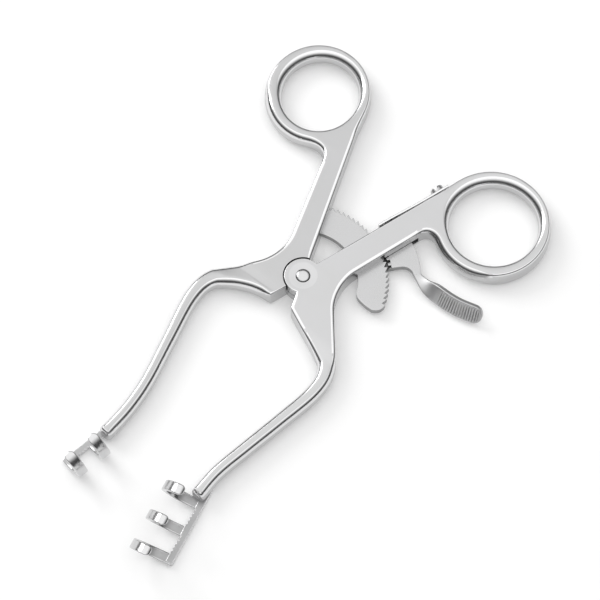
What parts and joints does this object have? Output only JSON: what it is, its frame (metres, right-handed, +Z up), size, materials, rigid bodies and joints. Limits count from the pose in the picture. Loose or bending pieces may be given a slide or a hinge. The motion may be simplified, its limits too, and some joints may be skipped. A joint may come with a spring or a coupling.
{
  "type": "self-retaining retractor",
  "caption": "Self-retaining spreader: two ring-handled arms on a lap pivot, hooked blunt prongs, toothed ratchet bar and a sprung thumb catch.",
  "frame": {"origin": "centre of the pivot screw's flat lower end, in the plane of the flat underside", "axes": "+Y towards the finger rings, +X towards the three-prong arm, +Z up, the way the prongs point as the instrument lies on its flat side"},
  "size_m": [0.0803, 0.1325, 0.0131],
  "materials": {
    "satin_steel": "bead-blasted satin stainless steel",
    "polished_steel": "polished stainless steel"
  },
  "bodies": {
    "left": {"left_arm": "satin_steel", "left_prong_rake": "polished_steel", "ratchet_bar": "satin_steel", "ratchet_rivet_1": "satin_steel", "ratchet_rivet_2": "satin_steel", "pivot_screw": "polished_steel"},
    "right": {"right_arm": "satin_steel", "right_prong_rake": "polished_steel", "catch_pin": "satin_steel", "spring_screw": "polished_steel"},
    "catch": {"catch_lever": "satin_steel"},
    "spring": {"leaf_spring": "polished_steel"}
  },
  "joints": [
    {"name": "arm_pivot", "type": "hinge", "parent": "left", "child": "right", "pos_m": [0, 0, 0], "axis": [0, 0, 1], "range_deg": [-13, 26]},
    {"name": "catch_pivot", "type": "hinge", "parent": "right", "child": "catch", "pos_m": [0.0103, 0.0202, 0], "axis": [0, 0, 1], "range_deg": [0, 12], "stiffness_Nm_per_rad": 0.05},
    {"name": "spring_flex", "type": "hinge", "parent": "right", "child": "spring", "pos_m": [0.01124, 0.03758, 0], "axis": [0, 0, 1], "range_deg": [-3, 0]}
  ],
  "couplings": [
    {"joint": "spring_flex", "follows": "catch_pivot", "ratio": -0.22}
  ]
}
